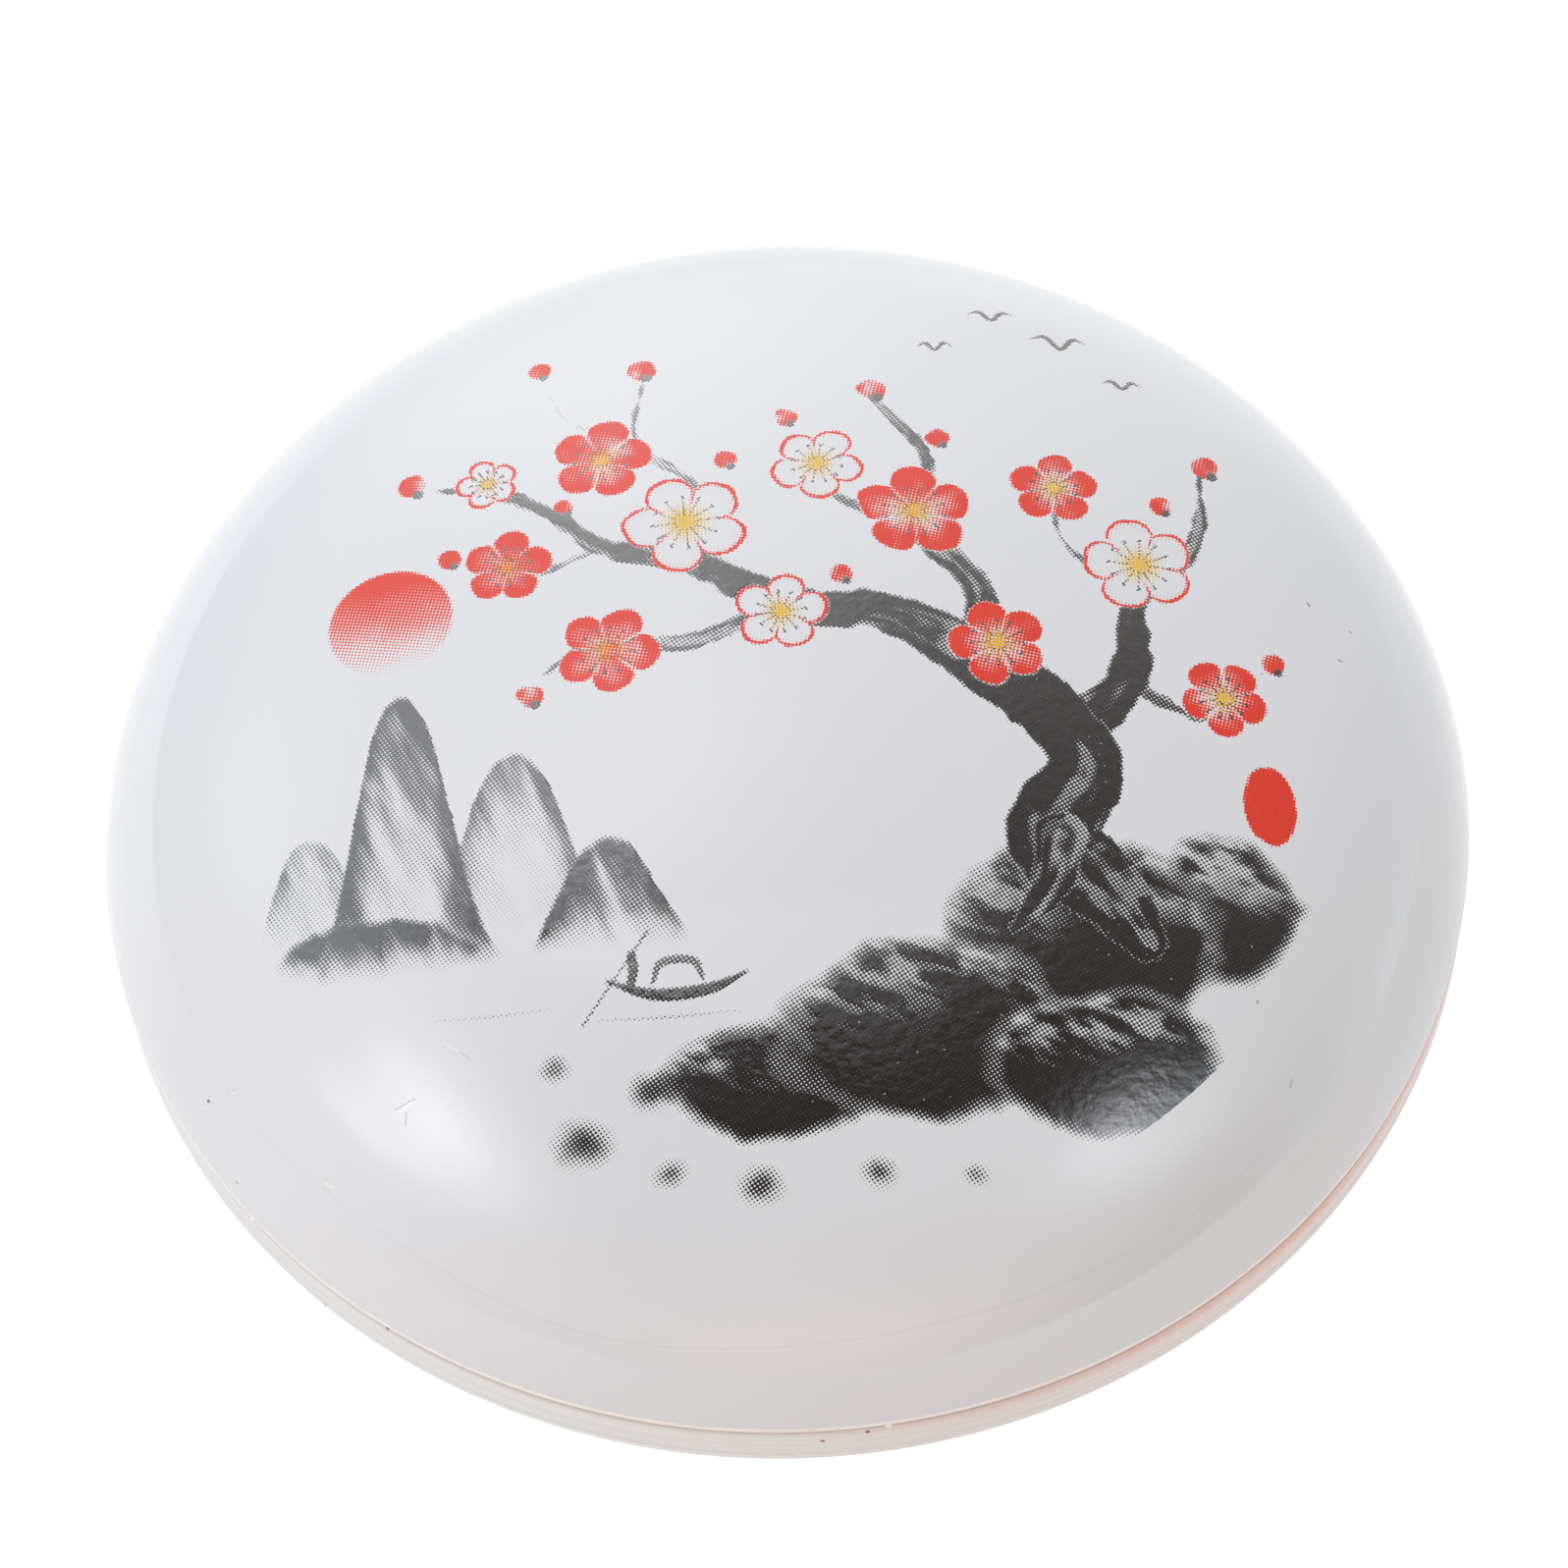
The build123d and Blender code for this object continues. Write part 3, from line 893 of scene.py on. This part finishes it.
def base_material():
    """Glaze where the radius and height say so, and bare clay elsewhere: off-white, dry, with fine
    turned lines, pink stain that seeps down from the joint, painted shade in the joint's groove and a
    few specks."""
    material, add, place = new_material("base_porcelain")
    x, _, z, across = off_axis(add, place)
    radius = result(add, "POWER", across, 0.5)

    wander = scaled(add, noise(add, place, 420.0, 2.0), 2 * base_glaze_wander, -base_glaze_wander)
    height = result(add, "ADD", z, wander)
    band = result(add, "GREATER_THAN", height, band_bottom - base_glaze_wander)
    spread = result(add, "ADD", radius, wander)
    outside = result(add, "GREATER_THAN", spread, lip_inner_radius + base_glaze_wander)
    low = result(add, "LESS_THAN", height, foot_bare_height)
    foot = result(add, "GREATER_THAN", radius, foot_inner_radius - foot_bare_reach)
    bare = result(add, "MAXIMUM", times(add, band, outside), times(add, low, foot))

    lines = noise(add, stretched(add, place, (14.0, 14.0, 3400.0)), 1.0, 3.0)
    lines = scaled(add, lines, 3.0, -1.0, True)
    grit = noise(add, place, 2400.0, 2.0)
    clay = blend(add, lines, (0.74, 0.745, 0.74, 1), (0.90, 0.90, 0.89, 1))
    clay = blend(add, scaled(add, grit, 0.5, -0.1, True), clay, (0.84, 0.82, 0.79, 1))

    depth = result(add, "MAXIMUM", result(add, "SUBTRACT", joint_height, z), 0.0)
    patch = noise(add, stretched(add, place, (60.0, 60.0, 300.0)), 1.0, 3.0)
    stain = times(
        add,
        result(add, "EXPONENT", times(add, depth, -1 / stain_depth)),
        scaled(add, x, 32.0, 0.08, True),
        scaled(add, grit, 2.6, -0.2, True),
        scaled(add, patch, 2.4, -0.2, True),
        scaled(add, lines, -0.75, 1.25, True),
    )
    clay = blend(add, stain, clay, (0.93, 0.36, 0.23, 1))
    # painted shade: a dark brown line just under the joint on the outside, in place of the shade in
    # the groove between lid and base
    painted_joint_shade = result(add, "EXPONENT", times(add, depth, -1 / painted_shade_depth))
    outmost = scaled(add, radius, 1 / painted_shade_fade, (painted_shade_reach - lid_radius) / painted_shade_fade, True)
    clay = blend(add, times(add, painted_joint_shade, outmost, 0.9), clay, (0.22, 0.105, 0.075, 1))
    chance, apart = dotted(add, place, 700.0)
    red_brown, chalk = (0.36, 0.08, 0.05, 1), (0.95, 0.94, 0.92, 1)
    for share, reach, tint in ((0.97, 0.12, red_brown), (0.92, 0.16, chalk)):
        rare = result(add, "COMPARE", chance, share, 0.02)
        clay = blend(add, times(add, rare, result(add, "LESS_THAN", apart, reach)), clay, tint)

    furrow = times(add, scaled(add, grit, 0.5, lines), bare)
    under = glaze_bump(add, place)
    skin = add("Bump", {"Height": furrow, "Normal": under}, Strength=0.6, Distance=furrow_depth)
    colour = blend(add, bare, porcelain_white(add, place), clay)
    surface(add, colour, scaled(add, bare, 0.32, 0.07), skin.outputs[0])
    return material


base = turned_mesh("base_porcelain", base_profile(), 256, base_material())
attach(base, "base")
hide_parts("base")


# The paste: cinnabar red ground in oil and bound with plant fibre, stirred up into a domed pat. It
# is soft and heavy, lies on the bowl's floor, and shows the folds of the last stirring.

paste_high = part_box("seal_paste")[1]
paste_radius = paste_high[0]
paste_crown_rise = 3.0 * mm
paste_side_height = 2.2 * mm
paste_gap = 0.3 * mm
paste_edge_round = 1.5 * mm
paste_edge_drop = 1.4 * mm
paste_grain = 0.42 * mm
paste_index = 1.47
paste_side_top = paste_high[2] - paste_crown_rise
paste_side_foot = paste_side_top - paste_side_height


def paste_profile():
    """From the top of the dome down its side, under the side and over the flat foot to the axis."""
    crown = (paste_radius**2 + paste_crown_rise**2) / (2 * paste_crown_rise)
    centre = (0.0, paste_high[2] - crown)
    join = math.asin(paste_radius / crown)
    flat = floor_radius - paste_gap
    side_top = (paste_radius, paste_side_top)
    side_foot = (paste_radius, paste_side_foot)
    before = (paste_radius - paste_edge_round, paste_side_top + math.tan(join) * paste_edge_round)
    return np.concatenate(
        [
            arc_points(centre, crown, upright, upright - join * 0.95, 100),
            round_corner(before, side_top, (paste_radius, 0), paste_edge_round, 10),
            line_points((paste_radius, paste_side_top - paste_edge_drop), side_foot, 5),
            line_points(side_foot, (flat, floor_height), 8),
            line_points((flat, floor_height), (0, floor_height), 10),
        ]
    )


def stirred(points):
    """Pushes the top and side in by up to a millimetre, as folds that turn slowly round the pat, and
    leaves the foot flat."""
    x, y, z = (points / mm).T
    far = np.hypot(x, y)
    turn = np.arctan2(y, x)
    swirl = np.sin(3 * turn + far * 0.42 + 1.1 * rough(x, y, 9.0, 7))
    folds = 0.5 + 0.5 * np.sin(far * 0.95 + 2.4 * np.sin(turn + 0.6) + 2.6 * rough(x, y, 7.0, 5))
    depth = 0.12 + 0.40 * folds * np.clip(far / 12, 0, 1) + 0.24 * (1 - swirl) * 0.5
    depth += 0.42 * np.abs(rough(x, y, 3.2, 9, 4))
    over = np.clip((z - floor_height / mm) / 1.6, 0, 1)
    depth = depth * over * over
    shrink = 1 - 0.45 * depth * over / np.maximum(far, 5)
    return np.stack([x * shrink, y * shrink, z - depth], 1) * mm


def paste_material():
    """Vermilion in oil, mottled by fibres and lumps: deep red where the bump is low, partly a painted
    shade in its hollows, and oranger on its crests, with a wet sheen broken up by fibres."""
    material, add, place = new_material("cinnabar_paste")
    pulled = stretched(add, place, (260.0, 1700.0, 900.0), (0.3, 0.2, 0.5))
    fibre = noise(add, pulled, 1.0, 4.0, Distortion=1.4)
    lump = noise(add, place, 380.0, 5.0)
    # the colour follows the same noises as the bump, so its hollows are painted darker: painted shade
    # over the paste's own mottling
    mottle_and_shade = scaled(add, fibre, 0.6, times(add, lump, 0.5), True)
    colour = blend(add, mottle_and_shade, (0.26, 0.004, 0.004, 1), (0.74, 0.034, 0.012, 1))
    height = scaled(add, lump, 1.4, fibre)
    bump = add("Bump", {"Height": height}, Strength=0.9, Distance=paste_grain)
    surface(add, colour, scaled(add, fibre, 0.5, 0.16), bump.outputs[0], paste_index)
    return material


paste = turned_mesh("paste_pat", paste_profile(), 360, paste_material(), stirred)
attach(paste, "base")
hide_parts("seal_paste")


# The studio: a white floor in a room of soft lights that stand all round. The floor is brighter to
# the camera and in reflections than its own paper white, and in these more so to the right. The
# camera stands where the photograph's did.

floor_size = 3.0
floor_glow = 0.7
floor_mirror_left = 0.48
floor_mirror_right = 0.74
floor_mirror_reach = 80 * mm
floor_mesh = bpy.data.meshes.new("floor")
floor_corners = [(x * floor_size, y * floor_size, 0) for x, y in ((-1, -1), (1, -1), (1, 1), (-1, 1))]
floor_mesh.from_pydata(floor_corners, [], [(0, 1, 2, 3)])
floor = placed("floor", floor_mesh)
floor_material, add, place = new_material("floor_white")
path = add("LightPath").outputs
sideways = add("SeparateXYZ", {"Vector": place}).outputs["X"]
spread = {0: sideways, 1: 0.0, 2: floor_mirror_reach, 3: floor_mirror_left, 4: floor_mirror_right}
seen = result(add, "MAXIMUM", path["Is Glossy Ray"], path["Is Transmission Ray"])
lift = times(add, seen, add("MapRange", spread).outputs[0])
lift = scaled(add, path["Is Camera Ray"], floor_glow, lift)
glow = add("Emission", {"Strength": lift}, Color=(1, 1, 1, 1)).outputs[0]
paper = add("BsdfDiffuse", Color=(0.76, 0.76, 0.76, 1)).outputs[0]
add("OutputMaterial", {"Surface": add("AddShader", {0: paper, 1: glow}).outputs[0]})
floor_mesh.materials.append(floor_material)

world = bpy.data.worlds.new("studio")
bpy.context.scene.world = world
world.use_nodes = True
add = node_adder(world.node_tree)

# Each light is brightest in its middle and fades smoothly all round, and a strip light fades faster
# across itself. A side is counted in degrees round from behind the box to the right, an elevation up
# from the floor.
towards = add("TexCoord").outputs["Generated"]
light = None
for side, elevation, tightness, strip, strip_turn, brightness, colour in (
    (351, 32, 20.6, 0, 0, 1.84, (0.99, 0.99, 1.03)),
    (341, 61, 58.7, 0, 0, 1.52, (0.95, 0.98, 1.07)),
    (256, 48, 49.2, 0, 0, 3.60, (0.95, 1.00, 1.05)),
    (118, 49, 51.3, 0, 0, 2.15, (0.88, 1.02, 1.10)),
    (180, 20, 8.5, 0, 0, 1.5, (1.23, 0.94, 0.76)),
    (13, -8, 2.9, 0, 0, 1.65, (1.02, 0.99, 0.98)),
    (253, 15, 6.6, 0, 0, 1.23, (0.92, 0.99, 1.08)),
    (306, 44, 25.2, 0, 0, 1.69, (0.92, 1.00, 1.08)),
    (88, -8, 11, 0, 0, 2.2, (0.87, 1.04, 1.10)),
    (268, 61, 54.5, 55, 69, 4.41, (0.95, 1.00, 1.05)),
    (113, 62, 70, 77, -48, 2.0, (0.98, 0.97, 1.06)),
):
    turn, rise, tilt = math.radians(side), math.radians(elevation), math.radians(strip_turn)
    middle = Vector((math.sin(turn) * math.cos(rise), math.cos(turn) * math.cos(rise), math.sin(rise)))
    facing = vector_result(add, "DOT_PRODUCT", towards, middle)
    power = scaled(add, facing, tightness, -tightness)
    if strip:
        level = middle.cross((0, 0, 1)).normalized()
        across = level * math.cos(tilt) + middle.cross(level) * math.sin(tilt)
        aside = vector_result(add, "DOT_PRODUCT", towards, across)
        power = scaled(add, times(add, aside, aside), -strip, power)
    tint = [brightness * channel for channel in colour]
    glow = vector_result(add, "SCALE", tint, result(add, "EXPONENT", power))
    light = glow if light is None else vector_result(add, "ADD", glow, light)

# One flat panel in the ceiling has straight edges, which show as faint lines in the glaze. Its place
# is counted across the ceiling in shares of its height over the box.
axes = add("SeparateXYZ", {"Vector": towards}).outputs
high = result(add, "MAXIMUM", axes[2], 0.3)
ceiling_x = result(add, "DIVIDE", axes[0], high)
ceiling_y = result(add, "DIVIDE", axes[1], high)


def across_ceiling(x_share, y_share):
    """A value that changes evenly across the ceiling."""
    return scaled(add, ceiling_y, y_share, times(add, ceiling_x, x_share))


def eased(value, dark, lit):
    """Nothing on one side of a soft edge and all on the other."""
    node = add("MapRange", {0: value, 1: dark, 2: lit}, interpolation_type="SMOOTHSTEP")
    return node.outputs[0]


panel = times(
    add,
    eased(axes[2], 0.35, 0.5),
    eased(ceiling_y, 0.325, 0.311),
    eased(across_ceiling(0.535, 1.0), 0.135, 0.152),
    eased(ceiling_x, 0.36, 0.20),
    eased(ceiling_x, -0.36, -0.20),
    result(add, "MAXIMUM", across_ceiling(-1.1, 1.5), 0.0),
)
light = vector_result(add, "ADD", vector_result(add, "SCALE", (1, 1, 1), panel), light)
add("OutputWorld", {"Surface": add("Background", {"Color": light}).outputs[0]})

image_side_px = 1597
lid_radius_px = 692.05
aim_px = (-0.3, 23.4)
camera_distance = 7 * lid_radius
camera_elevation = math.radians(58.65)
camera_roll = math.radians(3.417)
camera_focal_px = lid_radius_px * camera_distance / lid_radius
camera_sensor = 36.0

lens = bpy.data.cameras.new("camera")
lens.lens = camera_focal_px / image_side_px * camera_sensor
lens.sensor_width = camera_sensor
lens.clip_start = 0.01
camera = placed("camera", lens)
stand = Matrix.Rotation(upright - camera_elevation, 4, "X")
stand = stand @ Matrix.Translation((0, 0, camera_distance))
for angle, axis in (
    (math.atan(aim_px[0] / camera_focal_px), "Y"),
    (math.atan(aim_px[1] / camera_focal_px), "X"),
    (-camera_roll, "Z"),
):
    stand = stand @ Matrix.Rotation(angle, 4, axis)
camera.matrix_world = Matrix.Translation((0, 0, joint_height)) @ stand
bpy.context.scene.camera = camera
bpy.context.scene.view_settings.view_transform = "Standard"
